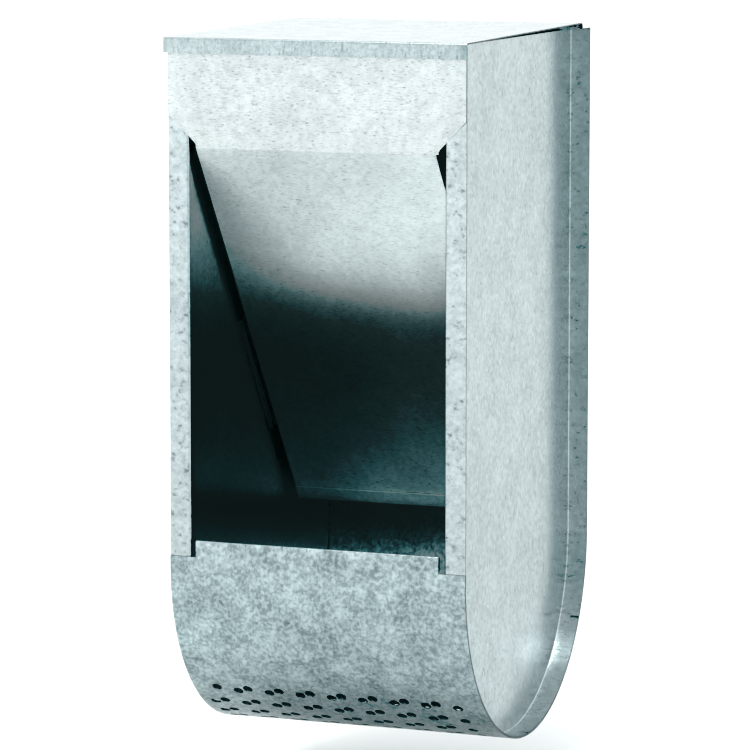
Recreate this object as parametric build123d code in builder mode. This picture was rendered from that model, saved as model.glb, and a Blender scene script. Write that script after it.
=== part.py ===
from build123d import *
import os
from math import asin, atan2, cos, degrees, hypot, radians, sin

# A galvanised hopper feeder for rabbits, folded from five sheets and hinged on one wire.
# Origin: on the back face, midway between the two hanging holes.
# +X is to the right as seen from the front, +Y points to the back, +Z up. Millimetres.
# Heights in the driving sizes are counted from the lowest point of the round bottom.

# Overall sizes
sheet = 0.6
width = 140.0
depth = 164.0
body_height = 316.0
hang_height = 290.0

# Side panels: flat plates with a flange turned outwards
flange_width = 9.3
plate_bend_radius = 0.6
slit_angles = (30.0, 90.0, 150.0)
slit_width = 1.0
slit_depth = 4.0

# Trough front: shoulders over the flanges, a hemmed lip between them
shoulder_height = 87.0
lip_height = 94.5
lip_side_gap = 1.8
lip_hem_depth = 6.5
hem_gap = 0.4

# Sieve holes in the round bottom, in pairs of rows. The topmost second row starts one hole further in.
hole_diameter = 4.6
hole_pitch = 15.1
holes_in_first_row = 8
holes_in_second_row = 9
first_row_start_x = -58.4
second_row_start_x = -63.5
first_row_angle = 45.4
row_pair_pitch = 12.0
row_pair_step = 2.0
row_pairs = 12

# Hopper front and baffle, one bent sheet
window_top_height = 269.0
window_bend_radius = 2.0
corner_cut_rise = 2.0
baffle_side_gap = 3.1
baffle_foot_height = 97.0
throat = 45.0
baffle_hem_depth = 7.0
ear_start = 100.0
ear_length = 66.0
ear_depth = 10.0
ear_bend_radius = 1.2

# Lid: a plate with a short front lip and a folded rear edge
lid_side_overhang = 1.0
lid_front_gap = 2.4
lid_lip_drop = 6.9
lid_rest_gap = 1.2
lid_bend_radius = 1.0
lid_fold_depth = 13.0
lid_fold_gap = 0.15

# Hinge: a wire in the lid's folded rear edge, held by two rolled tabs of the back sheet
wire_diameter = 2.0
wire_clearance = 0.1
wire_end_inset = 2.0
hinge_setback = 15.5
tab_width = 12.0
tab_root = 6.0
tab_spacing = 84.0
tab_side_clearance = 0.5
curl_turn = 250.0
turning_gap = 0.5
panel_top_gap = 0.3

# Hanging holes near the top of the back
hang_hole_diameter = 6.5
hang_hole_spacing = 80.0

# Places worked out from the sizes
bottom_z = -hang_height
top_z = bottom_z + body_height
panel_top_z = top_z - panel_top_gap
back_bend_radius = sheet + panel_top_gap
round_radius = depth / 2
round_y = -round_radius
round_z = bottom_z + round_radius
front_y = -depth
half_width = width / 2
panel_outer_x = half_width - flange_width
panel_inner_x = panel_outer_x - sheet
shoulder_z = bottom_z + shoulder_height
lip_z = bottom_z + lip_height
hem_radius = sheet + hem_gap / 2
curl_inner_radius = wire_diameter / 2 + wire_clearance
curl_outer_radius = curl_inner_radius + sheet
hinge_y = -hinge_setback
hinge_z = top_z + curl_outer_radius
strip_edge_y = hinge_y + curl_outer_radius + turning_gap
cut_through = 3 * sheet


def polar(centre, radius, angle):
    """The point at this radius and angle, in degrees from the back towards the top."""
    return (centre[0] + radius * cos(radians(angle)), centre[1] + radius * sin(radians(angle)))


def along(point, angle, distance):
    """The point this far from another, in the direction of the angle."""
    return polar(point, distance, angle)


def body_outline(inset):
    """The body's outline from the side, drawn in from its outer surface by inset."""
    with BuildLine() as outline:
        front = Line((front_y + inset, panel_top_z), (front_y + inset, round_z))
        bottom = ThreePointArc(front @ 1, (round_y, bottom_z + inset), (-inset, round_z))
        back = Line(bottom @ 1, (-inset, panel_top_z))
        Line(back @ 1, front @ 0)
    return outline.edges()


def thick_outline(path, side):
    """The closed outline of a sheet, one of whose surfaces follows the path."""
    with BuildLine() as outline:
        add(path)
        offset(amount=sheet, side=side)
    return outline.edges()


# Side panel: a plate, and a rim that is turned outwards along the front, bottom and back
with BuildPart() as side_panel_right:
    with BuildSketch(Plane.YZ.offset(panel_inner_x)):
        make_face(body_outline(sheet))
    extrude(amount=sheet)
    with BuildSketch(Plane.YZ.offset(panel_inner_x)):
        make_face(body_outline(sheet))
        make_face(body_outline(2 * sheet), mode=Mode.SUBTRACT)
        with Locations((round_y, panel_top_z)):
            Rectangle(depth - 4 * sheet, 2 * sheet, mode=Mode.SUBTRACT)
    extrude(amount=half_width - panel_inner_x)
    inner_bend = [
        edge
        for edge in side_panel_right.edges().filter_by_position(Axis.X, panel_outer_x, panel_outer_x)
        if edge.center().Z < panel_top_z - sheet / 4
    ]
    fillet(inner_bend, radius=plate_bend_radius)
    outer_bend = [
        edge
        for edge in side_panel_right.edges().filter_by_position(Axis.X, panel_inner_x, panel_inner_x)
        if edge.center().Z < panel_top_z - sheet / 4
    ]
    fillet(outer_bend, radius=plate_bend_radius + sheet)
    for angle in slit_angles:
        slit_y, slit_z = polar((round_y, round_z), round_radius - 1.5 * sheet, 180 + angle)
        with Locations(Location((half_width, slit_y, slit_z), (angle - 90, 0, 0))):
            Box(2 * slit_depth, slit_width, cut_through, mode=Mode.SUBTRACT)
side_panel_right.part.label = "side_panel_right"

with BuildPart() as side_panel_left:
    mirror(side_panel_right.part, about=Plane.YZ)
side_panel_left.part.label = "side_panel_left"

# Trough front, round bottom and back: one sheet over the flanges of both side panels
with BuildLine() as wrap_path:
    wrap_front = Line((front_y, shoulder_z), (front_y, round_z))
    wrap_round = ThreePointArc(wrap_front @ 1, (round_y, bottom_z), (0, round_z))
    FilletPolyline(
        wrap_round @ 1,
        (0, top_z + sheet),
        (strip_edge_y, top_z + sheet),
        radius=back_bend_radius,
    )

with BuildLine() as lip_path:
    lip_rise = Line((front_y, shoulder_z - lip_hem_depth), (front_y, lip_z - hem_radius))
    lip_fold = ThreePointArc(
        lip_rise @ 1,
        (front_y + hem_radius, lip_z),
        (front_y + 2 * hem_radius, lip_z - hem_radius),
    )
    Line(lip_fold @ 1, (front_y + 2 * hem_radius, lip_z - lip_hem_depth))

with BuildLine() as tab_outline:
    tab_top = Line((strip_edge_y + tab_root, top_z + sheet), (hinge_y, top_z + sheet))
    curl_inside = CenterArc((hinge_y, hinge_z), curl_inner_radius, 270, -curl_turn)
    curl_outside = CenterArc((hinge_y, hinge_z), curl_outer_radius, 270, -curl_turn)
    Line(curl_inside @ 1, curl_outside @ 1)
    Polyline(curl_outside @ 0, (strip_edge_y + tab_root, top_z), tab_top @ 0)

first_row = [first_row_start_x + index * hole_pitch for index in range(holes_in_first_row)]
second_row = [second_row_start_x + index * hole_pitch for index in range(holes_in_second_row)]
sieve_places = []
for pair in range(row_pairs):
    second_row_here = second_row if pair else second_row[1:]
    for row, step in ((first_row, 0.0), (second_row_here, row_pair_step)):
        angle = first_row_angle + degrees((pair * row_pair_pitch + step) / round_radius)
        hole_y, hole_z = polar((round_y, round_z), round_radius - sheet / 2, 180 + angle)
        for hole_x in row:
            sieve_places.append(Location((hole_x, hole_y, hole_z), (angle - 90, 0, 0)))

with BuildPart() as trough_and_back:
    with BuildSketch(Plane.YZ):
        make_face(thick_outline(wrap_path.line, Side.LEFT))
    extrude(amount=half_width, both=True)
    with BuildSketch(Plane.YZ):
        make_face(thick_outline(lip_path.line, Side.RIGHT))
    extrude(amount=panel_inner_x - lip_side_gap, both=True)
    for tab_x in (-tab_spacing / 2, tab_spacing / 2):
        with BuildSketch(Plane.YZ.offset(tab_x)):
            make_face(tab_outline.edges())
        extrude(amount=tab_width / 2, both=True)
    with Locations(*sieve_places):
        Cylinder(hole_diameter / 2, cut_through, mode=Mode.SUBTRACT)
    with Locations(Plane.XZ):
        with Locations((-hang_hole_spacing / 2, 0), (hang_hole_spacing / 2, 0)):
            Cylinder(hang_hole_diameter / 2, cut_through, mode=Mode.SUBTRACT)
trough_and_back.part.label = "trough_and_back"

# Hopper front and baffle: the path is the surface that the feed lies against
window_z = bottom_z + window_top_height
foot_y = -throat - sheet
foot_z = bottom_z + baffle_foot_height
baffle_half_width = panel_inner_x - baffle_side_gap
cut_low_z = window_z + corner_cut_rise
cut_high_z = cut_low_z + half_width - baffle_half_width
bend_point = (front_y + sheet, window_z)
slope = degrees(atan2(foot_z - window_z, foot_y - bend_point[0]))
under = slope - 90
foot = (foot_y, foot_z)

with BuildLine() as baffle_path:
    FilletPolyline(
        (front_y + sheet, top_z),
        bend_point,
        foot,
        radius=window_bend_radius,
    )
    fold_end = along(foot, under, 2 * hem_radius)
    fold_middle = along(along(foot, under, hem_radius), slope, hem_radius)
    ThreePointArc(foot, fold_middle, fold_end)
    Line(fold_end, along(fold_end, slope + 180, baffle_hem_depth))

ear_root = along(bend_point, slope, ear_start)
ear_plane = Plane(
    origin=(0, ear_root[0], ear_root[1]),
    x_dir=(1, 0, 0),
    z_dir=(0, cos(radians(slope)), sin(radians(slope))),
)
with BuildLine() as ear_path:
    FilletPolyline(
        (baffle_half_width - 2 * sheet, sheet),
        (panel_inner_x, sheet),
        (panel_inner_x, -ear_depth),
        radius=ear_bend_radius,
    )

with BuildPart() as front_and_baffle:
    with BuildSketch(Plane.YZ):
        make_face(thick_outline(baffle_path.line, Side.RIGHT))
    extrude(amount=half_width, both=True)
    with BuildSketch(Plane.XZ):
        with BuildLine():
            Polyline(
                (baffle_half_width, bottom_z),
                (baffle_half_width, cut_low_z),
                (half_width, cut_high_z),
                (width, cut_high_z),
                (width, bottom_z),
                close=True,
            )
        make_face()
        mirror(about=Plane.YZ)
    extrude(amount=depth, both=True, mode=Mode.SUBTRACT)
    with BuildSketch(ear_plane):
        make_face(thick_outline(ear_path.line, Side.RIGHT))
        mirror(about=Plane.YZ)
    extrude(amount=ear_length)
front_and_baffle.part.label = "front_and_baffle"

# Lid: the path is its outer surface, from the lip over the top and round the wire
lid_front_y = front_y - lid_front_gap - sheet
lid_half_width = half_width + lid_side_overhang
rest_point = (front_y, top_z + lid_rest_gap + sheet)
hinge_run = hinge_y - rest_point[0]
hinge_rise = hinge_z - rest_point[1]
lid_slope = degrees(atan2(hinge_rise, hinge_run) + asin(curl_outer_radius / hypot(hinge_run, hinge_rise)))
lid_front_z = along(rest_point, lid_slope, (lid_front_y - front_y) / cos(radians(lid_slope)))[1]
closing = degrees(asin((2 * curl_inner_radius - lid_fold_gap) / lid_fold_depth))
hinge_point = (hinge_y, hinge_z)

fold_start = polar(hinge_point, curl_outer_radius, 90 + lid_slope)
fold_finish = polar(hinge_point, curl_outer_radius, lid_slope - closing - 90)

with BuildLine() as lid_path:
    FilletPolyline(
        (lid_front_y, lid_front_z - lid_lip_drop),
        (lid_front_y, lid_front_z),
        fold_start,
        radius=lid_bend_radius,
    )
    ThreePointArc(
        fold_start,
        polar(hinge_point, curl_outer_radius, lid_slope - closing / 2),
        fold_finish,
    )
    Line(fold_finish, along(fold_finish, 180 + lid_slope - closing, lid_fold_depth))

with BuildPart() as lid:
    with BuildSketch(Plane.YZ):
        make_face(thick_outline(lid_path.line, Side.RIGHT))
    extrude(amount=lid_half_width, both=True)
    notch_depth = 2 * (curl_outer_radius + turning_gap)
    for tab_x in (-tab_spacing / 2, tab_spacing / 2):
        with Locations((tab_x, hinge_y, hinge_z)):
            Box(tab_width + 2 * tab_side_clearance, notch_depth, notch_depth, mode=Mode.SUBTRACT)
lid.part.label = "lid"

# Hinge wire
with BuildPart() as hinge_wire:
    with BuildSketch(Plane.YZ):
        with Locations(hinge_point):
            Circle(wire_diameter / 2)
    extrude(amount=lid_half_width - wire_end_inset, both=True)
hinge_wire.part.label = "hinge_wire"

os.makedirs("parts", exist_ok=True)
for piece in (side_panel_right, side_panel_left, trough_and_back, front_and_baffle, lid, hinge_wire):
    export_step(piece.part, "parts/" + piece.part.label + ".step")
    print(piece.part.label, len(piece.solids()), round(piece.part.volume, 1))
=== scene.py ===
# %% [markdown]
# # A galvanised rabbit feeder
# This notebook dresses a small hopper feeder that is folded from thin zinc-coated sheet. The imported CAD
# model is loaded first and stays the measure of everything. Each sheet is rebuilt here, over its own CAD
# node, as a finer mesh with soft bends, punched holes and the slight unevenness of hand-folded sheet.

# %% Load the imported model
import math
import bmesh
import bpy
from mathutils import Matrix, Vector, noise


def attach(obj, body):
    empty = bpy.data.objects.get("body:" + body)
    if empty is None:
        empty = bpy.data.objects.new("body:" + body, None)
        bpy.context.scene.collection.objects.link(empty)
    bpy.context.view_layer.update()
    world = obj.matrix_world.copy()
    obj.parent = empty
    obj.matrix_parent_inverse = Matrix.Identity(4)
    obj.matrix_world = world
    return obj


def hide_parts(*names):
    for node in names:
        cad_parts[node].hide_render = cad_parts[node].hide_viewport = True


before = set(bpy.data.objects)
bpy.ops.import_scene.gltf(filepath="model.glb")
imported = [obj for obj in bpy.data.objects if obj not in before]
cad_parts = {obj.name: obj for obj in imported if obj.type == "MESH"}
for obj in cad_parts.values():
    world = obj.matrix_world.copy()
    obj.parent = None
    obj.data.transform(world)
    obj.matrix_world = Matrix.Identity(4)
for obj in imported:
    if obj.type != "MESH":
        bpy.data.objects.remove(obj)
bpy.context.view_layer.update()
mm = 0.001

# %% [markdown]
# ## The sizes of the real piece
# The script can't read the CAD source, so the main sizes are repeated here, in millimetres. The origin is
# on the back face between the hanging holes. X is to the right seen from the front, Y goes back and Z goes
# up.

# %% Sizes
sheet = 0.6
half_width = 70.0
depth = 164.0
bottom_z = -290.0
top_z = 26.0
radius = depth / 2
round_y, round_z = -radius, bottom_z + radius
front_y = -depth
panel_inner_x = 60.1
panel_top_z = top_z - 0.3
lip_half_width = panel_inner_x - 2.5
shoulder_z, lip_z = bottom_z + 87.0, bottom_z + 94.5
window_z = bottom_z + 269.0
baffle_half_width = panel_inner_x - 3.1
foot = (-45.6, bottom_z + 97.0)
hinge = (-15.5, top_z + 1.7)
tab_x, tab_half_width, tab_radius = 42.0, 6.0, 1.1
hanging_hole_x, hanging_hole_radius = 40.0, 3.25
print("body", 2 * half_width, "wide,", depth, "deep and", top_z - bottom_z, "high")

# %% [markdown]
# ## Lines that a sheet follows
# A folded sheet is one line seen from the side, pulled out sideways. The line is made of straight runs and
# arcs. Runs are divided, so that the metal can be a little uneven later, and arcs are divided by angle, so
# that bends look round.

# %% Runs and arcs
def at(centre, r, degrees):
    """The point at this radius and angle, in degrees from the first axis towards the second."""
    turn = math.radians(degrees)
    return (centre[0] + r * math.cos(turn), centre[1] + r * math.sin(turn))


def run(a, b, step):
    """Points from a to b, the first one left out."""
    n = max(1, round(math.dist(a, b) / step))
    return [(a[0] + (b[0] - a[0]) * i / n, a[1] + (b[1] - a[1]) * i / n) for i in range(1, n + 1)]


def arc(centre, r, start, end, step):
    """Points round an arc, the first one left out."""
    n = max(2, round(abs(end - start) / step))
    return [at(centre, r, start + (end - start) * i / n) for i in range(1, n + 1)]


def corner(a, b, c, r, steps=5):
    """A rounded corner at b, between runs that come from a and go to c."""
    u = Vector((a[0] - b[0], a[1] - b[1])).normalized()
    v = Vector((c[0] - b[0], c[1] - b[1])).normalized()
    half = u.angle(v) / 2
    p = Vector(b) + u * r / math.tan(half)
    q = Vector(b) + v * r / math.tan(half)
    m = Vector(b) + (u + v).normalized() * r / math.sin(half)
    points = []
    for i in range(steps + 1):
        w = (p - m).slerp(q - m, i / steps)
        points.append((m.x + w.x, m.y + w.y))
    return points


def even(a, b, step):
    """Values from a up to b, about a step apart."""
    n = max(1, round((b - a) / step))
    return [a + (b - a) * i / n for i in range(n + 1)]


print("an arc of 90 degrees in steps of 18 has", len(arc((0, 0), 1, 0, 90, 18)), "runs")

# %% [markdown]
# ## From a line to a sheet
# A closed sheet could come from the Solidify modifier, but on a hem that is folded flat it makes a mess
# inside the fold. Here each point of the line gets its own inner point, square to the line and one sheet
# thickness away. The rows and columns form a grid, and a test says which cells are metal, which is how
# notches, tabs and cut corners are made. Wherever metal ends, a rim face joins both sides, so the sheet is
# closed.

# %% Both sides of a sheet
def sideways(path, thickness):
    """The path moved square to itself by the thickness, to its left."""
    sharpest = 0.3
    moved = []
    for i, p in enumerate(path):
        before = Vector(path[max(i - 1, 0)])
        after = Vector(path[min(i + 1, len(path) - 1)])
        here = Vector(p)
        d1 = (here - before).normalized() if i else (after - here).normalized()
        d2 = (after - here).normalized() if i < len(path) - 1 else d1
        d = (d1 + d2).normalized()
        stretch = 1 / max(d.dot(d1), sharpest)
        moved.append((p[0] - d.y * thickness * stretch, p[1] + d.x * thickness * stretch))
    return moved


def sheet_faces(rows, cols, metal, rim_at_end=True):
    """Faces of a grid of cells on both sides of the sheet, and a rim wherever metal(row, column) ends."""
    def is_metal(i, j):
        return 0 <= i < rows - 1 and 0 <= j < cols - 1 and metal(i, j)

    other = rows * cols
    faces = []
    for i in range(rows - 1):
        for j in range(cols - 1):
            if not is_metal(i, j):
                continue
            p, s = i * cols + j, (i + 1) * cols + j
            q, r = p + 1, s + 1
            faces.append((p, q, r, s))
            faces.append((other + s, other + r, other + q, other + p))
            sides = [((i - 1, j), p, q), ((i, j + 1), q, r), ((i + 1, j), r, s), ((i, j - 1), s, p)]
            for cell, u, v in sides:
                if not is_metal(*cell) and (rim_at_end or cell[0] < rows - 1):
                    faces.append((v, u, other + u, other + v))
    return faces


# %% A mesh object, closed and shaded
def made(name, points, faces):
    """A mesh object in metres from points in millimetres, with doubles merged and faces outwards."""
    weld = 0.004
    mesh = bpy.data.meshes.new(name)
    mesh.from_pydata([[v * mm for v in p] for p in points], [], faces)
    piece = bpy.data.objects.new(name, mesh)
    bpy.context.scene.collection.objects.link(piece)
    bm = bmesh.new()
    bm.from_mesh(mesh)
    bmesh.ops.remove_doubles(bm, verts=bm.verts, dist=weld * mm)
    bmesh.ops.delete(bm, geom=[v for v in bm.verts if not v.link_faces], context="VERTS")
    bmesh.ops.recalc_face_normals(bm, faces=bm.faces)
    bm.to_mesh(mesh)
    bm.free()
    return piece


def folded_sheet(name, path, columns, thickness, place, metal):
    """A closed sheet. place(a, b, c, row) gives a point, and metal(row, middle) says if a cell is metal."""
    points = []
    for line in (path, sideways(path, thickness)):
        for i, (a, b) in enumerate(line):
            points += [place(a, b, c, i) for c in columns]
    middles = [(a + b) / 2 for a, b in zip(columns, columns[1:])]
    faces = sheet_faces(len(path), len(columns), lambda i, j: metal(i, middles[j]))
    return made(name, points, faces)


def soften(piece):
    """Smooth shading over the bends, and sharp where the sheet is cut."""
    sharp_angle = math.radians(32)
    bm = bmesh.new()
    bm.from_mesh(piece.data)
    for face in bm.faces:
        face.smooth = True
    for edge in bm.edges:
        if edge.is_manifold:
            edge.smooth = edge.calc_face_angle(0) < sharp_angle
    open_edges = sum(not e.is_manifold for e in bm.edges)
    bm.to_mesh(piece.data)
    bm.free()
    print(piece.name, len(piece.data.polygons), "faces,", open_edges, "open edges")


def columns_at(marks, step):
    """Columns at these marks and at their mirror images, with even ones between them."""
    marks = marks + [-m for m in reversed(marks)]
    columns = [marks[0]]
    for a, b in zip(marks, marks[1:]):
        columns += even(a, b, step)[1:]
    return columns


print("columns from -12 to 12 with a mark at 4:", columns_at([-12.0, -4.0], 4.0))

# %% [markdown]
# ## Uneven metal
# Thin sheet is never quite flat. Large faces dip by a few tenths of a millimetre, which shows in
# reflections and hardly in the outline. A Displace modifier could do it, but its fading would need painted
# weights. Here a formula ends the unevenness near the edges, where flanges hold the sheet, so that no seam
# opens.

# %% Oil-canning
def fade(distance, width):
    """0 at the edge, 1 at this distance from it and beyond."""
    t = min(max(distance / width, 0.0), 1.0)
    return t * t * (3 - 2 * t)


def dent(x, y, z, amount, scale, seed):
    """How far the metal is pushed, in millimetres. It is never outwards, so the part keeps its size."""
    p = Vector((x / scale + seed, y / scale, z / scale + 2 * seed))
    return -amount * (0.5 + 0.5 * noise.noise(p))


print("a dent", round(dent(0, front_y, -20, amount=0.4, scale=60, seed=3.1), 3))

# %% [markdown]
# ## The trough and the back
# One long sheet makes the hemmed lip, the low front, the half-round bottom, the back and the two tabs that
# are rolled round the hinge wire. It could be a tube and two plates, but on the real feeder it is one
# strip, so here it is one line from the side too.

# %% The long line of the trough and the back
hem = 0.8
lip_return = 6.5
back_bend = 0.9
strip_end_y = -13.3
wrap = [(front_y + 2 * hem, lip_z - lip_return)]
wrap += run(wrap[-1], (front_y + 2 * hem, lip_z - hem), 3)
wrap += arc((front_y + hem, lip_z - hem), hem, 0, 180, 30)
wrap += run(wrap[-1], (front_y, shoulder_z), 3)
lip_rows = len(wrap) - 1
wrap += run(wrap[-1], (front_y, round_z), 2.5)
wrap += arc((round_y, round_z), radius, 180, 360, 2.25)
bend_start = top_z + sheet - back_bend
wrap += run(wrap[-1], (0, bend_start), 4.5)
wrap += arc((-back_bend, bend_start), back_bend, 0, 90, 22.5)
wrap += run(wrap[-1], (strip_end_y, top_z + sheet), 3)
strip_rows = len(wrap) - 1
wrap += run(wrap[-1], (hinge[0], top_z + sheet), 1.2)
wrap += arc(hinge, tab_radius, 270, 20, 15)
print("rows", len(wrap), "lip", lip_rows, "strip", strip_rows)

# %% The trough and back sheet
def wrap_metal(row, x):
    """The lip is narrow, the strip has the full width, and only the two tabs go on from its end."""
    if row < lip_rows:
        return abs(x) < lip_half_width
    if row < strip_rows:
        return True
    return abs(abs(x) - tab_x) < tab_half_width


def wrap_place(y, z, x, row):
    """The strip dips towards its inner side. The lip and the tabs stay straight."""
    if not lip_rows <= row < strip_rows:
        return (x, y, z)
    push = dent(x, y, z, amount=0.35, scale=55, seed=1.7)
    push *= fade(half_width - abs(x), 30) * fade(top_z - z, 60)
    if y < round_y:
        push *= fade(lip_z - z, 25)
    outwards = Vector((y - round_y, min(z - round_z, 0))).normalized()
    return (x, y + push * outwards.x, z + push * outwards.y)


wrap_marks = [-half_width, -lip_half_width, -tab_x - tab_half_width, -tab_x + tab_half_width]
wrap_columns = columns_at(wrap_marks, 4.0)
trough_and_back = folded_sheet("trough_and_back_sheet", wrap, wrap_columns, sheet, wrap_place, wrap_metal)
print("columns", len(wrap_columns), "faces", len(trough_and_back.data.polygons))

# %% [markdown]
# ## Sieve holes, by Geometry Nodes
# Dust falls out through rows of punched holes in the round bottom. An Array modifier could repeat one
# punch, but hardly in staggered rows round an axis. Geometry Nodes lay out a point for each hole by a
# formula, stand a punch on each point, square to the sheet, and cut them all with one Mesh Boolean. The
# punch is a little wider at its outer end, so each hole gets the drawn-in edge of a real punched hole.

# %% Small helpers to build node trees
FLOAT, WHOLE, VECTOR, GEOMETRY = "NodeSocketFloat", "NodeSocketInt", "NodeSocketVector", "NodeSocketGeometry"


def sockets_on(tree, inputs, outputs):
    """Gives a tree its named inputs, with first values, and its outputs. Returns both sets of sockets."""
    for label, kind, value in inputs:
        socket = tree.interface.new_socket(label, in_out="INPUT", socket_type=kind)
        if value is not None:
            socket.default_value = value
    for label, kind in outputs:
        tree.interface.new_socket(label, in_out="OUTPUT", socket_type=kind)
    return tree.nodes.new("NodeGroupInput").outputs, tree.nodes.new("NodeGroupOutput").inputs


def node_in(tree, kind, settings=None, **sockets):
    """One node, its inputs linked or set by name (spaces as underscores) or, as i0, i1, by place."""
    node = tree.nodes.new(kind)
    for key, value in (settings or {}).items():
        setattr(node, key, value)
    for label, value in sockets.items():
        by_place = label[0] == "i" and label[1:].isdigit()
        socket = node.inputs[int(label[1:])] if by_place else node.inputs[label.replace("_", " ")]
        if isinstance(value, bpy.types.NodeSocket):
            tree.links.new(value, socket)
        else:
            socket.default_value = value
    return node


def math_node(tree, operation, *values):
    """One Math node. Each value is a socket or a number."""
    sockets = {f"i{place}": value for place, value in enumerate(values)}
    return node_in(tree, "ShaderNodeMath", {"operation": operation}, **sockets).outputs[0]


def plus(tree, a, b):
    return math_node(tree, "ADD", a, b)


def minus(tree, a, b):
    return math_node(tree, "SUBTRACT", a, b)


def times(tree, a, b):
    return math_node(tree, "MULTIPLY", a, b)


def over(tree, a, b):
    return math_node(tree, "DIVIDE", a, b)


# %% From a modifier to a plain mesh
def bake(piece, modifier):
    """Turns what the modifier makes into the piece's own mesh, and takes the modifier away."""
    bpy.context.view_layer.update()
    graph = bpy.context.evaluated_depsgraph_get()
    baked = bpy.data.meshes.new_from_object(piece.evaluated_get(graph))
    piece.modifiers.remove(modifier)
    plain = piece.data
    piece.data = baked
    bpy.data.meshes.remove(plain)
    print(piece.name, "is baked with", len(baked.polygons), "faces")


def apply_tree(piece, tree, values):
    """Adds the tree as a modifier, sets its inputs by identifier, and bakes the result."""
    modifier = piece.modifiers.new(tree.name, "NODES")
    modifier.node_group = tree
    for item in tree.interface.items_tree:
        if item.in_out == "INPUT" and item.name in values:
            modifier[item.identifier] = values[item.name]
    bake(piece, modifier)


# %% The punch, turned on a lathe
def turned(name, profile, sides):
    """A closed round piece from (radius, height) pairs in millimetres, about its own Z."""
    points, faces = [], []
    for r, h in profile:
        points += [(*at((0, 0), r, 360 * k / sides), h) for k in range(sides)]
    for i in range(len(profile) - 1):
        for k in range(sides):
            n = (k + 1) % sides
            faces.append((i * sides + k, i * sides + n, (i + 1) * sides + n, (i + 1) * sides + k))
    faces.append(tuple(reversed(range(sides))))
    faces.append(tuple((len(profile) - 1) * sides + k for k in range(sides)))
    return made(name, points, faces)


punch_profile = [(2.3, -1.5), (2.3, 0.12), (2.38, 0.26), (2.55, 0.34), (2.85, 0.9)]
punch = turned("punch", punch_profile, 18)
print("the punch has", len(punch.data.polygons), "faces")

# %% Points for the first or the second rows
def row_points(tree, given, second):
    """The middle of each hole of the first or second rows of the pairs, with the turn of its punch."""
    per_row = plus(tree, given["Holes In Row"], 1 if second else 0)
    count = times(tree, per_row, given["Row Pairs"])
    points = node_in(tree, "GeometryNodeMeshLine", Count=count, Offset=(0, 0, 0))
    index = node_in(tree, "GeometryNodeInputIndex").outputs[0]
    along_row = math_node(tree, "FLOORED_MODULO", index, per_row)
    row = math_node(tree, "FLOOR", over(tree, index, per_row))
    x = plus(tree, times(tree, along_row, given["Pitch"]), given["First Hole X"])
    arc_length = times(tree, row, given["Row Pair Pitch"])
    if second:
        x = minus(tree, x, given["Row Shift"])
        arc_length = plus(tree, arc_length, given["Row Step"])
    angle = plus(tree, over(tree, arc_length, given["Round Radius"]), given["First Row Angle"])
    y = times(tree, math_node(tree, "COSINE", angle), times(tree, given["Round Radius"], -1.0))
    z = times(tree, math_node(tree, "SINE", angle), times(tree, given["Round Radius"], -1.0))
    spot = node_in(tree, "ShaderNodeCombineXYZ", X=x, Y=y, Z=z).outputs[0]
    centre = node_in(tree, "ShaderNodeVectorMath", {"operation": "ADD"}, i0=spot, i1=given["Axis"])
    moved = node_in(tree, "GeometryNodeSetPosition", Geometry=points.outputs["Mesh"],
                    Position=centre.outputs[0])
    turn = node_in(tree, "ShaderNodeCombineXYZ", X=plus(tree, angle, math.pi / 2)).outputs[0]
    kept = node_in(tree, "GeometryNodeStoreNamedAttribute", {"data_type": "FLOAT_VECTOR"}, Name="turn",
                   Geometry=moved.outputs[0], Value=turn)
    return kept.outputs[0]


# %% The tree that punches the rows
def sieve_tree():
    """Punches on all the points, cut out of the sheet. The topmost second row starts one hole further in."""
    tree = bpy.data.node_groups.new("Sieve holes", "GeometryNodeTree")
    given, result = sockets_on(tree, [
        ("Geometry", GEOMETRY, None), ("Punch", "NodeSocketObject", None),
        ("Material", "NodeSocketMaterial", None), ("Pitch", FLOAT, 0.015), ("Row Pair Pitch", FLOAT, 0.012),
        ("Row Step", FLOAT, 0.002), ("Row Shift", FLOAT, 0.005), ("First Hole X", FLOAT, -0.058),
        ("First Row Angle", FLOAT, 0.8), ("Round Radius", FLOAT, 0.08), ("Holes In Row", WHOLE, 8),
        ("Row Pairs", WHOLE, 12), ("Axis", VECTOR, (0.0, 0.0, 0.0)),
    ], [("Geometry", GEOMETRY)])
    first_rows, second_rows = row_points(tree, given, False), row_points(tree, given, True)
    is_first = math_node(tree, "LESS_THAN", node_in(tree, "GeometryNodeInputIndex").outputs[0], 0.5)
    kept_second = node_in(tree, "GeometryNodeDeleteGeometry", Geometry=second_rows, Selection=is_first)
    both = tree.nodes.new("GeometryNodeJoinGeometry")
    for points in (first_rows, kept_second.outputs[0]):
        tree.links.new(points, both.inputs[0])
    shape = node_in(tree, "GeometryNodeObjectInfo", Object=given["Punch"]).outputs["Geometry"]
    turn = node_in(tree, "GeometryNodeInputNamedAttribute", {"data_type": "FLOAT_VECTOR"}, Name="turn")
    rotation = node_in(tree, "FunctionNodeEulerToRotation", i0=turn.outputs["Attribute"]).outputs[0]
    standing = node_in(tree, "GeometryNodeInstanceOnPoints", Points=both.outputs[0], Instance=shape,
                       Rotation=rotation)
    punches = node_in(tree, "GeometryNodeRealizeInstances", i0=standing.outputs[0]).outputs[0]
    cut = node_in(tree, "GeometryNodeMeshBoolean", {"operation": "DIFFERENCE", "solver": "EXACT"},
                  i0=given["Geometry"], i1=punches)
    whole = node_in(tree, "GeometryNodeRealizeInstances", i0=cut.outputs["Mesh"]).outputs[0]
    finish = node_in(tree, "GeometryNodeSetMaterial", Geometry=whole, Material=given["Material"])
    tree.links.new(finish.outputs[0], result[0])
    return tree


sieve = sieve_tree()
print("nodes in the sieve tree", len(sieve.nodes))

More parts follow.
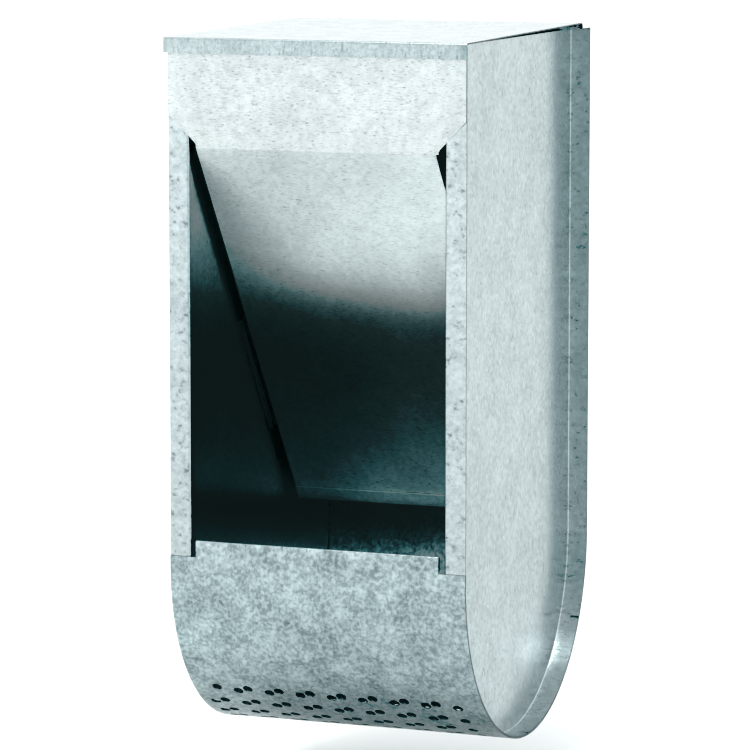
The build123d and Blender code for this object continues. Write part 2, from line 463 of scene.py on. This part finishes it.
# %% Punch the sieve
galvanised = bpy.data.materials.new("galvanised_trough_sheet")
apply_tree(trough_and_back, sieve, {
    "Punch": punch, "Material": galvanised, "Pitch": 15.1 * mm, "Row Pair Pitch": 12.0 * mm,
    "Row Step": 2.0 * mm, "Row Shift": 5.1 * mm, "First Hole X": -58.4 * mm,
    "First Row Angle": math.radians(45.4), "Round Radius": radius * mm, "Holes In Row": 8, "Row Pairs": 12,
    "Axis": (0, round_y * mm, round_z * mm),
})
bpy.data.objects.remove(punch)

# %% [markdown]
# ## The two hanging holes
# The back has two plain round holes for screws or hooks. The sieve's tree could cut them too, but there are
# only two, with a size of their own, so a Boolean modifier with a cutter object is the short way. The
# cutter is deleted afterwards.

# %% Cut the hanging holes
def cut_with(piece, cutter):
    """Takes the cutter's shape out of the piece."""
    modifier = piece.modifiers.new("cut", "BOOLEAN")
    modifier.operation = "DIFFERENCE"
    modifier.solver = "EXACT"
    modifier.object = cutter
    bake(piece, modifier)
    bpy.data.objects.remove(cutter)


quarter_turn = math.pi / 2
for x in (-hanging_hole_x, hanging_hole_x):
    drill = turned("drill", [(hanging_hole_radius, -2), (hanging_hole_radius, 2)], 32)
    drill.data.transform(Matrix.Translation((x * mm, 0, 0)) @ Matrix.Rotation(quarter_turn, 4, "X"))
    cut_with(trough_and_back, drill)
soften(trough_and_back)

# %% [markdown]
# ## The side panels
# Each side is a flat plate whose front, bottom and back edges are turned outwards as a rim. Seen from the
# side its outline is a U. It could be a plate with a rim joined to it, but then the bend would be a seam.
# Here the mesh runs in lines that follow the U, from the rim's edge round the bend and into the plate, and
# the narrow strip that is left in the middle is bridged from front to back. The rim was slit in three
# places, so that it could be bent round the bottom.

# %% Places along the U
rim_bend = 1.2
slits = (30.0, 90.0, 150.0)
slit_end_x = 66.0
half_slit = math.degrees(0.5 / (radius - 0.9))


def panel_places():
    """Places along the U, as a kind and a height or an angle, with the edges of the slits among them.

    The front edge is one long cell and the back edge is divided, so that the plate there can be uneven.
    """
    clear_of_slit = half_slit * 1.6
    angles = set(even(0, 180, 2.25))
    for s in slits:
        angles = {a for a in angles if abs(a - s) > clear_of_slit}
        angles |= {s - half_slit, s + half_slit}
    places = [("front", panel_top_z)] + [("round", a) for a in sorted(angles)]
    return places + [("back", z) for z in even(round_z, panel_top_z, 5.0)[1:]]


def panel_point(place, inset):
    """The depth and height of a place, this far inside the outline."""
    kind, value = place
    if kind == "front":
        return (front_y + inset, value)
    if kind == "back":
        return (-inset, value)
    return at((round_y, round_z), radius - inset, 180 + value)


print("places along the U", len(panel_places()))

# %% A side panel
def side_panel(name, side):
    """side is 1 for the right panel and -1 for the left."""
    places = panel_places()
    count = len(places)
    plate_inset, half_strip, side_shift = 3, 6, 40
    section = [(sheet, x) for x in (half_width, slit_end_x, panel_inner_x + rim_bend)]
    section += arc((sheet + rim_bend, panel_inner_x + rim_bend), rim_bend, 180, 270, 18)
    section += run(section[-1], (radius - half_strip, panel_inner_x), 5.0)

    points = []
    for line in (section, sideways(section, sheet)):
        for inset, x in line:
            for place in places:
                y, z = panel_point(place, inset)
                push = dent(x + side * side_shift, y, z, amount=0.4, scale=60, seed=5.3)
                push *= fade(inset - 2, 28) * fade(panel_top_z - z, 20)
                points.append((side * (x - (push if inset > plate_inset else 0)), y, z))

    def metal(i, j):
        on_round = places[j][0] == "round" and places[j + 1][0] == "round"
        if not on_round or (section[i][1] + section[i + 1][1]) / 2 < slit_end_x:
            return True
        middle = (places[j][1] + places[j + 1][1]) / 2
        return all(abs(middle - s) > half_slit for s in slits)

    faces = sheet_faces(len(section), count, metal, rim_at_end=False)
    # the strip in the middle is one face at the top and one that goes down round the bottom, on each side
    inner_line = (len(section) - 1) * count
    outer_line = inner_line + len(section) * count
    for first in (inner_line, outer_line):
        last = first + count - 1
        top = (last, last - 1, first + 1, first)
        faces.append(top if first == inner_line else top[::-1])
    faces.append((inner_line, inner_line + count - 1, outer_line + count - 1, outer_line))
    for first in (inner_line, outer_line):
        ring = tuple(range(first + 1, first + count - 1))
        faces.append(ring[::-1] if first == inner_line else ring)
    piece = made(name, points, faces)
    soften(piece)
    return piece


side_panel_right = side_panel("side_panel_right_sheet", 1)
side_panel_left = side_panel("side_panel_left_sheet", -1)

# %% [markdown]
# ## The front and the baffle
# One sheet again: the flat front of the hopper lies over the two flanges, bends back at the top of the
# window, and slopes down as the baffle to a hem that is folded forwards. Below the window's top it is
# narrower, and its corners are cut at 45 degrees. Two little ears, cut from the same sheet, lie along the
# side walls. They could be bent out of the same grid, but that would need many columns, so they are strips
# of their own, joined to the same object.

# %% The line of the front and the baffle
front_face_y = front_y + sheet
window_top = (front_face_y, window_z)
front_hem = 0.68
hem_length = 7.0
slope = math.degrees(math.atan2(foot[1] - window_z, foot[0] - front_face_y))
front = [(front_face_y, top_z)]
front_bend = corner(front[0], window_top, foot, 2.0, 6)
front += run(front[-1], (front_face_y, window_z + 15), 3.6)
front += run(front[-1], front_bend[0], 1.0)
bend_row = len(front) - 1
front += front_bend[1:]
front += run(front[-1], foot, 4.0)
front += arc(at(foot, front_hem, slope - 90), front_hem, slope + 90, slope - 90, 30)
front += run(front[-1], at(front[-1], hem_length, slope + 180), 3.5)
print("slope", round(slope, 2), "rows", len(front))

# %% Where the front ends sideways
cut_low = window_z + 2.0
wing = half_width - baffle_half_width
steady_half = 40.0


def front_metal(row, x):
    """Below the cut corners only the baffle's width is metal."""
    return abs(x) < baffle_half_width or front[row][1] > cut_low + 0.05


def right_edge_short(down):
    """How far the baffle's right edge stays in, this far down its slope: only near the top of the window."""
    edge_short, short_fade = 1.2, 70
    edge_gain, gain_from, gain_fade = 1.9, 4, 92
    return max(edge_short * (1 - fade(down, short_fade)) - edge_gain * fade(down - gain_from, gain_fade), 0)


def front_across(x, z, down):
    """Where a column lies sideways. Past the baffle's width it follows the corners, cut at 45 degrees."""
    if abs(x) > baffle_half_width:
        share = (abs(x) - baffle_half_width) / wing
        return math.copysign(baffle_half_width + share * min(max(z - cut_low, 0.0), wing), x)
    if down and x > steady_half:
        return x - right_edge_short(down) * (x - steady_half) / (baffle_half_width - steady_half)
    return x


print("right edge short by", [round(right_edge_short(down), 2) for down in (1, 10, 20, 40)])

# %% The front and baffle sheet
def front_place(y, z, x, row):
    """The front dips back, and the baffle back and up. Both are still at their edges and bends."""
    down = math.dist((y, z), window_top) if row > bend_row else 0
    x = front_across(x, z, down)
    push = dent(x, y, z, amount=0.4, scale=50, seed=9.2)
    if row <= bend_row:
        push *= fade(baffle_half_width - abs(x), 25) * fade(top_z - z, 12) * fade(z - window_z, 12)
        return (x, y - push, z)
    push *= fade(baffle_half_width - abs(x), 25) * fade(window_z - z, 15) * fade(z - foot[1], 15)
    return (x, y - push * 0.8, z - push * 0.5)


front_columns = even(-half_width, -baffle_half_width, 2.0)[:-1]
front_columns += even(-baffle_half_width, baffle_half_width, 4.0)
front_columns += even(baffle_half_width, half_width, 2.0)[1:]
front_sheet = folded_sheet("front_and_baffle_sheet", front, front_columns, -sheet, front_place, front_metal)
print("columns", len(front_columns), "faces", len(front_sheet.data.polygons))

# %% The two ears
ear_from, ear_length, ear_height = 100.0, 66.0, 10.0
ear_inner_x = panel_inner_x - 0.8


def ear(side):
    """A short strip beside the baffle, turned up along the side wall."""
    bend = panel_inner_x - ear_inner_x
    line = [(ear_inner_x, 0)] + arc((ear_inner_x, bend), bend, 270, 360, 18)
    line += run(line[-1], (panel_inner_x, ear_height), 3.0)
    along = at((0, 0), 1, slope)
    upwards = at((0, 0), 1, slope + 90)
    start = at(window_top, ear_from, slope)

    def place(x, height, down, row):
        up = height - sheet
        y = start[0] + along[0] * down + upwards[0] * up
        z = start[1] + along[1] * down + upwards[1] * up
        return (side * x, y, z)

    return folded_sheet("ear", line, even(0, ear_length, 6.0), sheet, place, lambda row, down: True)


def joined(pieces, name):
    """One object from several closed shells."""
    whole = bmesh.new()
    for piece in pieces:
        whole.from_mesh(piece.data)
        if piece is not pieces[0]:
            bpy.data.objects.remove(piece)
    whole.to_mesh(pieces[0].data)
    whole.free()
    pieces[0].name = name
    return pieces[0]


front_and_baffle = joined([front_sheet, ear(1), ear(-1)], "front_and_baffle_sheet")
soften(front_and_baffle)

# %% [markdown]
# ## The lid
# The lid is a flat sheet with a short lip at the front. Its rear edge is folded round the hinge wire and
# back under itself, and two notches in the fold make room for the tabs that hold the wire. It could be a
# plain box, but its folded edges and rounded bends are what the light catches.

# %% The line of the lid
lid_front_y = front_y - 2.4 - sheet
lid_lip = 6.9
lid_bend_radius = 1.0
lid_rest = (front_y, top_z + 1.2 + sheet)
curl = 1.7
fold_length, notch_depth = 13.0, 2.2
to_hinge = math.atan2(hinge[1] - lid_rest[1], hinge[0] - lid_rest[0])
lid_slope = math.degrees(to_hinge + math.asin(curl / math.dist(hinge, lid_rest)))
lid_front_z = lid_rest[1] + (lid_front_y - front_y) * math.tan(math.radians(lid_slope))
closing = math.degrees(math.asin((2 * tab_radius - 0.15) / fold_length))
fold_start = at(hinge, curl, 90 + lid_slope)
fold_end = at(hinge, curl, lid_slope - closing - 90)
lid_line = [(lid_front_y, lid_front_z - lid_lip)]
lid_bend = corner(lid_line[0], (lid_front_y, lid_front_z), fold_start, lid_bend_radius)
lid_line += run(lid_line[-1], lid_bend[0], 2.0) + lid_bend[1:]
notch_z = fold_start[1] - notch_depth * math.tan(math.radians(lid_slope))
lid_line += run(lid_line[-1], (hinge[0] - notch_depth, notch_z), 4.5)
lid_line += run(lid_line[-1], fold_start, 1.2)
lid_line += arc(hinge, curl, 90 + lid_slope, lid_slope - closing - 90, 15)
lid_line += run(lid_line[-1], at(fold_end, notch_depth, 180 + lid_slope - closing), 1.2)
lid_line += run(lid_line[-1], at(fold_end, fold_length, 180 + lid_slope - closing), 3.6)
print("lid slope", round(lid_slope, 3), "rows", len(lid_line))

# %% The lid sheet
lid_half_width = half_width + 1.0
notch_clear = 0.5
lid_corner = 3


def lid_metal(row, x):
    """All but the two notches for the tabs."""
    y = (lid_line[row][0] + lid_line[row + 1][0]) / 2
    return not (y > hinge[0] - notch_depth and abs(abs(x) - tab_x) < tab_half_width + notch_clear)


def lid_place(y, z, x, row):
    """The lid dips in its middle, and the ends of its front lip curl back a little."""
    push = dent(x, y, z, amount=0.35, scale=70, seed=12.4)
    push *= fade(lid_half_width - abs(x), 30) * fade(y - lid_front_y, 25) * fade(-28 - y, 20)
    past = max(abs(x) - lid_half_width + lid_corner, 0)
    curl_back = 0.8 * past ** 2 / lid_corner ** 2 * fade(lid_front_y + lid_corner - y, lid_corner)
    return (x, y + curl_back, z + push)


notch_edges = [-tab_x - tab_half_width - notch_clear, -tab_x + tab_half_width + notch_clear]
lid_columns = columns_at([-lid_half_width] + notch_edges, 4.2)
lid_columns += [side * (lid_half_width - inset) for side in (-1, 1) for inset in (1, 2)]
lid = folded_sheet("lid_sheet", lid_line, sorted(lid_columns), -sheet, lid_place, lid_metal)
soften(lid)

# %% [markdown]
# ## The hinge wire
# A straight piece of zinc-plated wire, sheared to length. A curve with a round bevel would do for its
# middle, but it is turned like a lathe part, for the small rounded edge that shears leave at each end.

# %% The wire
wire_half = lid_half_width - 2.0
wire_radius = 1.0
ends = [(0.7, 0.0), (0.92, 0.12), (wire_radius, 0.4)]
profile = [(r, -wire_half + h) for r, h in ends]
profile += [(wire_radius, h) for h in even(-wire_half + 3, wire_half - 3, 12.0)]
profile += [(r, wire_half - h) for r, h in reversed(ends)]
hinge_wire = turned("hinge_wire_rod", profile, 24)
wire_place = Matrix.Translation((0, hinge[0] * mm, hinge[1] * mm))
hinge_wire.data.transform(wire_place @ Matrix.Rotation(quarter_turn, 4, "Y"))
soften(hinge_wire)

# %% [markdown]
# ## Zinc finishes
# Hot-dip zinc is never one grey. This sheet has a small spangle, a mottling of lighter and darker crystals
# one to three millimetres across, with fine marks along the rolling direction and a few dull specks.
# Photographs of zinc could show this, but they would repeat and stretch. Here each effect is a shader node
# group, placed in every material with its own values. All read Object coordinates, so they stay on the
# metal.

# %% Helpers for shader groups
def shader_group(name, inputs, outputs):
    """A shader node group with named inputs and outputs."""
    group = bpy.data.node_groups.new(name, "ShaderNodeTree")
    return group, *sockets_on(group, inputs, outputs)


def spread(tree, source, low, high, to_low=0.0, to_high=1.0):
    """A value that runs from low to high, spread over another range and clamped."""
    node = node_in(tree, "ShaderNodeMapRange", {"clamp": True}, Value=source, From_Min=low, From_Max=high,
                   To_Min=to_low, To_Max=to_high)
    return node.outputs[0]


def squeezed(tree, vector, factors):
    """The place multiplied by one factor per axis, which sets how fine a pattern is along each."""
    return node_in(tree, "ShaderNodeVectorMath", {"operation": "MULTIPLY"}, i0=vector, i1=factors).outputs[0]


def mix(tree, share, a, b, blend="MIX"):
    """Two colours mixed by a share from 0 to 1."""
    node = node_in(tree, "ShaderNodeMix", {"data_type": "RGBA", "blend_type": blend}, i0=share, i6=a, i7=b)
    return node.outputs[2]


def colour_part(tree, colour, part):
    """The red, green or blue of a colour, by its place."""
    return node_in(tree, "ShaderNodeSeparateColor", Color=colour).outputs[part]


# %% Mottling
def mottling_group():
    """The zinc's small crystals: noise and cells, sharpened, and a slow cloud."""
    group, given, result = shader_group(
        "Zinc mottling",
        [("Vector", VECTOR, None), ("Crystal Size", FLOAT, 0.002), ("Sharpness", FLOAT, 0.5)],
        [("Mottle", FLOAT), ("Cloud", FLOAT)])
    per_metre = over(group, 1.0, given["Crystal Size"])
    coarse = node_in(group, "ShaderNodeTexNoise", Vector=given["Vector"], Scale=per_metre, Detail=2.5,
                     Roughness=0.55, Distortion=0.15)
    cells = node_in(group, "ShaderNodeTexVoronoi", Vector=given["Vector"], Scale=times(group, per_metre, 0.8),
                    Randomness=1.0)
    tone = colour_part(group, cells.outputs["Color"], 0)
    mixed = plus(group, times(group, coarse.outputs["Fac"], 0.8), times(group, tone, 0.2))
    half = minus(group, 0.26, times(group, given["Sharpness"], 0.18))
    mottle = spread(group, mixed, minus(group, 0.5, half), plus(group, 0.5, half))
    group.links.new(mottle, result["Mottle"])
    cloud = node_in(group, "ShaderNodeTexNoise", Vector=given["Vector"], Scale=times(group, per_metre, 0.12),
                    Detail=3.0, Roughness=0.55)
    group.links.new(spread(group, cloud.outputs["Fac"], 0.32, 0.68), result["Cloud"])
    return group


mottling = mottling_group()
print(mottling.name, "has", len(mottling.nodes), "nodes")

# %% Marks and specks
def marks_group():
    """Short thin marks along the rolling direction: stretched noise, of which only the peaks are kept."""
    group, given, result = shader_group(
        "Rolling marks",
        [("Vector", VECTOR, None), ("Fineness", VECTOR, (1.0, 1.0, 1.0)), ("Amount", FLOAT, 0.4)],
        [("Mark", FLOAT), ("Line", FLOAT)])
    place = squeezed(group, given["Vector"], given["Fineness"])
    fine = node_in(group, "ShaderNodeTexNoise", Vector=place, Scale=1.0, Detail=3.0, Roughness=0.7)
    start = minus(group, 0.74, times(group, given["Amount"], 0.25))
    group.links.new(spread(group, fine.outputs["Fac"], start, plus(group, start, 0.1)), result["Mark"])
    group.links.new(spread(group, fine.outputs["Fac"], 0.3, 0.7), result["Line"])
    return group


def specks_group():
    """Scattered dull specks, a random size in each cell of a Voronoi pattern and none in some."""
    group, given, result = shader_group(
        "Specks",
        [("Vector", VECTOR, None), ("Spacing", FLOAT, 0.004), ("Size", FLOAT, 0.2),
         ("Stretch", VECTOR, (1.0, 1.0, 1.0))],
        [("Speck", FLOAT)])
    place = squeezed(group, given["Vector"], given["Stretch"])
    cells = node_in(group, "ShaderNodeTexVoronoi", Vector=place, Scale=over(group, 1.0, given["Spacing"]))
    chance = colour_part(group, cells.outputs["Color"], 1)
    size = math_node(group, "MAXIMUM", times(group, given["Size"], minus(group, chance, 0.35)), 0.0001)
    dot = node_in(group, "ShaderNodeMapRange", {"clamp": True}, Value=cells.outputs["Distance"],
                  From_Min=size, From_Max=times(group, size, 0.4))
    group.links.new(dot.outputs[0], result["Speck"])
    return group


marks_on_zinc, specks = marks_group(), specks_group()
print("shader groups", [g.name for g in (mottling, marks_on_zinc, specks)])

# %% [markdown]
# ## One recipe, six finishes
# The sheets have the same coating, but the trough is mottled, the sides have upright marks, the front has
# level ones, and the lid is nearly plain. Six materials could be built by hand, but one function that takes
# their sizes and strengths keeps them alike and short. The patterns give one tone, which sets the colour
# and the roughness together, because a dull crystal is also a rougher one.

# %% One galvanised finish, from its values
def galvanise(name, dark, light, crystal, sharp, mottle_share, cloud_share, fineness, rough,
              mark_amount=0.4, mark_share=0.3, line_share=0.1, speck_share=0.3, speck_spacing=0.004,
              speck_size=0.2, speck_stretch=(1, 1, 1), bump=0.2, material=None):
    """A zinc finish. The patterns mix the tones dark and light, and fineness sets the marks' direction."""
    finish = material or bpy.data.materials.new(name)
    finish.name = name
    finish.use_nodes = True
    tree = finish.node_tree
    tree.nodes.clear()
    out = tree.nodes.new("ShaderNodeOutputMaterial")
    surface = node_in(tree, "ShaderNodeBsdfPrincipled", Metallic=1.0)
    tree.links.new(surface.outputs[0], out.inputs[0])
    where = tree.nodes.new("ShaderNodeTexCoord").outputs["Object"]
    crystals = node_in(tree, "ShaderNodeGroup", {"node_tree": mottling}, Vector=where, Crystal_Size=crystal,
                       Sharpness=sharp).outputs
    rolled = node_in(tree, "ShaderNodeGroup", {"node_tree": marks_on_zinc}, Vector=where, Fineness=fineness,
                     Amount=mark_amount).outputs
    dots = node_in(tree, "ShaderNodeGroup", {"node_tree": specks}, Vector=where, Spacing=speck_spacing,
                   Size=speck_size, Stretch=speck_stretch).outputs
    tone = 1.0
    sources = (crystals["Mottle"], crystals["Cloud"], rolled["Mark"], rolled["Line"], dots["Speck"])
    for source, share in zip(sources, (mottle_share, cloud_share, mark_share, line_share, speck_share)):
        tone = minus(tree, tone, times(tree, source, share))
    tree.links.new(mix(tree, tone, (*dark, 1), (*light, 1)), surface.inputs["Base Color"])
    tree.links.new(spread(tree, tone, 0.0, 1.0, rough[1], rough[0]), surface.inputs["Roughness"])
    height = plus(tree, times(tree, crystals["Mottle"], 0.4), times(tree, rolled["Line"], 0.6))
    relief = node_in(tree, "ShaderNodeBump", Height=height, Strength=bump, Distance=0.1 * mm)
    tree.links.new(relief.outputs[0], surface.inputs["Normal"])
    print(finish.name, "has", len(tree.nodes), "nodes")
    return finish


# %% The finishes of the four sheets
trough_finish = galvanise(
    "galvanised_trough_sheet", (0.03, 0.06, 0.065), (0.51, 0.595, 0.61), crystal=0.0016, sharp=0.7,
    mottle_share=0.36, cloud_share=0.26, fineness=(900, 300, 300), mark_amount=0.5, mark_share=0.2,
    line_share=0.12, rough=(0.27, 0.42), material=galvanised)
side_finish = galvanise(
    "galvanised_side_sheet", (0.03, 0.06, 0.065), (0.52, 0.58, 0.59), crystal=0.002, sharp=0.6,
    mottle_share=0.16, cloud_share=0.1, fineness=(300, 1700, 380), mark_amount=0.64, mark_share=0.34,
    line_share=0.16, speck_share=0.24, speck_spacing=0.0026, speck_size=0.21, speck_stretch=(1, 1.3, 0.4),
    rough=(0.22, 0.34), bump=0.08)
front_finish = galvanise(
    "galvanised_front_sheet", (0.02, 0.045, 0.05), (0.615, 0.66, 0.665), crystal=0.003, sharp=0.4,
    mottle_share=0.12, cloud_share=0.1, fineness=(480, 2200, 2200), mark_amount=0.66, mark_share=0.28,
    line_share=0.14, speck_share=0.34, speck_spacing=0.0023, speck_size=0.34, speck_stretch=(0.45, 1, 1),
    rough=(0.28, 0.38), bump=0.4)
lid_finish = galvanise(
    "galvanised_lid_sheet", (0.04, 0.07, 0.075), (0.46, 0.525, 0.535), crystal=0.0012, sharp=0.5,
    mottle_share=0.2, cloud_share=0.15, fineness=(900, 900, 200), mark_amount=0.55, line_share=0.14,
    speck_share=0.25, rough=(0.2, 0.32))

# %% The finishes of the wire and of cut metal
wire_finish = galvanise(
    "zinc_wire_finish", (0.1, 0.13, 0.14), (0.6, 0.64, 0.65), crystal=0.001, sharp=0.3, mottle_share=0.2,
    cloud_share=0.1, fineness=(60, 900, 900), mark_amount=0.5, line_share=0.2, speck_share=0.2,
    rough=(0.25, 0.4))
# The cut metal is made nearly black, darker than cut steel, so that it also paints the shadow lines along
# edges and in gaps.
edge_and_shade_finish = galvanise(
    "sheared_edge", (0.02, 0.03, 0.032), (0.16, 0.19, 0.2), crystal=0.0012, sharp=0.4, mottle_share=0.4,
    cloud_share=0.2, fineness=(900, 900, 900), mark_share=0.2, speck_share=0.1, rough=(0.45, 0.6))

# %% [markdown]
# ## Cut edges, and the tie to the CAD model
# The sheet was coated before it was cut, so the edges that the shear and the punch left are darker than the
# zinc. Here they are made nearly black, so that they also paint the thin shadow lines that fall along edges
# and in gaps. They could be painted by hand, but that wouldn't survive a change of shape. Here narrow faces
# between two sharp edges are found by measure and get a second material. Only the cut edge of the baffle's
# hem keeps the zinc finish, so that it catches the light. Then each piece is tied to its body, so that it
# moves with the joint, and takes its CAD node's place.

# %% Where the sheet was cut
def show_cuts(piece, bright_below):
    """Gives narrow faces between two sharp edges the second material, unless they lie below bright_below."""
    sharp_angle, widest = math.radians(50), 0.8 * mm
    bm = bmesh.new()
    bm.from_mesh(piece.data)
    for face in bm.faces:
        sharp = sum(e.calc_face_angle(0) > sharp_angle for e in face.edges)
        narrow = face.calc_area() / max(e.calc_length() for e in face.edges) < widest
        bright = face.calc_center_median().z < bright_below
        # the second material is cut metal, darkened further as painted shade along edges
        face.material_index = int(sharp >= 2 and narrow and not bright)
    print(piece.name, sum(face.material_index for face in bm.faces), "faces are cut metal")
    bm.to_mesh(piece.data)
    bm.free()


# %% Dress the pieces and tie them to the CAD model
def dress(piece, finish, body, node, bright_below=-1.0):
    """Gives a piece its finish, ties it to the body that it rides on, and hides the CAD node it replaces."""
    piece.data.materials.clear()
    piece.data.materials.append(finish)
    piece.data.materials.append(edge_and_shade_finish)
    show_cuts(piece, bright_below)
    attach(piece, body)
    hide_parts(node)


# the cut edge of the baffle's hem, below this height, keeps the zinc finish and so catches the light
unshaded_edge_below = (foot[1] + 12) * mm
dress(side_panel_right, side_finish, "feeder_body", "side_panel_right")
dress(side_panel_left, side_finish, "feeder_body", "side_panel_left")
dress(trough_and_back, trough_finish, "feeder_body", "trough_and_back")
dress(front_and_baffle, front_finish, "feeder_body", "front_and_baffle", unshaded_edge_below)
dress(hinge_wire, wire_finish, "feeder_body", "hinge_wire")
dress(lid, lid_finish, "feeder_lid", "lid")

# %% [markdown]
# ## Floor and room
# The photograph is bright and almost without shadows: a white room round a hanging feeder. A pale floor
# lies a little below it, because the feeder never stands on its round bottom. The white could come from
# many lamps, but zinc mirrors what is round it, so a bright world does more. It is a little dimmer towards
# the front and the back, which gives the metal that faces there its grey. The camera sees plain white.

# %% The floor
def floor_sheet():
    """A wide pale sheet under the feeder."""
    half_size, low = 800.0, bottom_z - 30.0
    steps = even(-half_size, half_size, 400.0)
    n = len(steps)
    points = [(x, y, low) for y in steps for x in steps]
    starts = [i * n + j for i in range(n - 1) for j in range(n - 1)]
    floor = made("floor", points, [(p, p + 1, p + n + 1, p + n) for p in starts])
    finish = bpy.data.materials.new("pale_floor")
    finish.use_nodes = True
    shader = finish.node_tree.nodes["Principled BSDF"]
    shader.inputs["Base Color"].default_value = (0.73, 0.75, 0.75, 1)
    shader.inputs["Roughness"].default_value = 0.8
    floor.data.materials.append(finish)
    print("floor at", low, "mm, with", len(floor.data.polygons), "faces")


floor_sheet()

# %% A white room, dimmer to the front and the back
def towards(tree, direction, way, start, end):
    """0 where a direction is off this way, rising to 1 along it."""
    along = node_in(tree, "ShaderNodeVectorMath", {"operation": "DOT_PRODUCT"}, i0=direction, i1=way)
    return spread(tree, along.outputs["Value"], start, end)


def white_room():
    """A world that is white to the camera and a little uneven in reflections."""
    white = (1.0, 1.0, 1.0, 1)
    room = bpy.data.worlds.new("white_room")
    room.use_nodes = True
    tree = room.node_tree
    tree.nodes.clear()
    out = tree.nodes.new("ShaderNodeOutputWorld")
    direction = tree.nodes.new("ShaderNodeTexCoord").outputs["Generated"]
    shade = mix(tree, towards(tree, direction, (0.42, -0.9, 0.0), 0.7, 0.93), white, (0.76, 0.85, 0.86, 1))
    behind = towards(tree, direction, (0.37, 0.92, -0.1), 0.3, 0.8)
    shade = mix(tree, behind, shade, (0.9, 0.92, 0.92, 1), "MULTIPLY")
    seen = tree.nodes.new("ShaderNodeLightPath").outputs["Is Camera Ray"]
    light = node_in(tree, "ShaderNodeBackground", Color=mix(tree, seen, shade, white), Strength=1.05)
    tree.links.new(light.outputs[0], out.inputs[0])
    bpy.context.scene.world = room
    print(room.name, "has", len(tree.nodes), "nodes")


white_room()

# %% [markdown]
# ## Panels of light
# Three soft panels add what the white room lacks: a weak one from the front left, a strong one from above
# and in front, and a small narrow one below the front, which lights the upper baffle through the window.
# Point lamps would give hard shadows and small bright spots on zinc, so all three are rectangles.

# %% Soft panels
def panel_light(name, place, aim, size, watts, spread_angle=180, colour=(1, 1, 1)):
    """A rectangular lamp at a place in metres, turned towards its aim."""
    data = bpy.data.lights.new(name, "AREA")
    data.shape = "RECTANGLE"
    data.size, data.size_y = size
    data.energy = watts
    data.spread = math.radians(spread_angle)
    data.color = colour
    lamp = bpy.data.objects.new(name, data)
    bpy.context.scene.collection.objects.link(lamp)
    lamp.location = place
    lamp.rotation_euler = (Vector(aim) - Vector(place)).to_track_quat("-Z", "Y").to_euler()
    print(name, watts, "W at", place)


panel_light("front_panel", (-0.55, -1.3, 0.0), (0, -0.3, -0.32), (0.8, 0.4), 0.22)
panel_light("low_panel", (-0.06, -0.21, -0.316), (-0.03, -0.118, -0.062), (0.36, 0.03), 0.0088, 28,
            (0.93, 1.0, 1.0))
panel_light("top_panel", (0.0, -0.55, 1.4), (0, -0.3, -0.3), (0.9, 0.5), 10)

# %% [markdown]
# ## Tones of the photograph
# The photograph has deep teal darks inside the hopper and whites that are almost blown out. Darker metal
# would give the darks, but it would also dull the whites. A curve for each channel leaves the light tones
# alone and pulls the dark ones down, red a little more than green and blue.

# %% Exposure and curves
view = bpy.context.scene.view_settings
view.view_transform = "Standard"
view.exposure = 0.56
view.gamma = 0.8
view.use_curve_mapping = True
red_curve = ((0.004, 0.0015), (0.01, 0.0055), (0.04, 0.007), (0.07, 0.017), (0.1, 0.057), (0.14, 0.14),
             (0.28, 0.285))
other_curve = ((0.004, 0.003), (0.01, 0.0105), (0.04, 0.0145), (0.07, 0.028), (0.1, 0.07), (0.14, 0.145),
               (0.28, 0.285))
for channel, curve in enumerate((red_curve, other_curve, other_curve)):
    for tone_in, tone_out in curve:
        view.curve_mapping.curves[channel].points.new(tone_in, tone_out).handle_type = "VECTOR"
view.curve_mapping.update()
print("points in the red curve", len(view.curve_mapping.curves[0].points))

# %% [markdown]
# ## The camera
# The photograph was taken from the right and a little above, from about two metres. The camera could be
# placed by eye, but here it was fitted: its angle, distance and focal length are those at which the model's
# corners fall nearest to the photograph's.

# %% Camera, at the photograph's angle
azimuth, elevation = math.radians(21.67), math.radians(7.6)
camera_distance = 1961.75
focal_pixels, picture_pixels, sensor_width = 4308.7, 750, 36.0
target = Vector((-5.96, -82.0, -128.92)) * mm
back = Vector((math.sin(azimuth) * math.cos(elevation), -math.cos(azimuth) * math.cos(elevation),
               math.sin(elevation)))
right = Vector((math.cos(azimuth), math.sin(azimuth), 0))
eye = bpy.data.cameras.new("camera")
eye.sensor_width = sensor_width
eye.lens = focal_pixels / picture_pixels * sensor_width
eye.clip_start, eye.clip_end = 0.05, 20.0
camera = bpy.data.objects.new("camera", eye)
bpy.context.scene.collection.objects.link(camera)
turned_to_target = Matrix((right, back.cross(right), back)).transposed().to_4x4()
camera.matrix_world = Matrix.Translation(target + back * camera_distance * mm) @ turned_to_target
bpy.context.scene.camera = camera
print("lens", round(eye.lens, 1), "mm, camera at", [round(v, 3) for v in camera.matrix_world.translation])
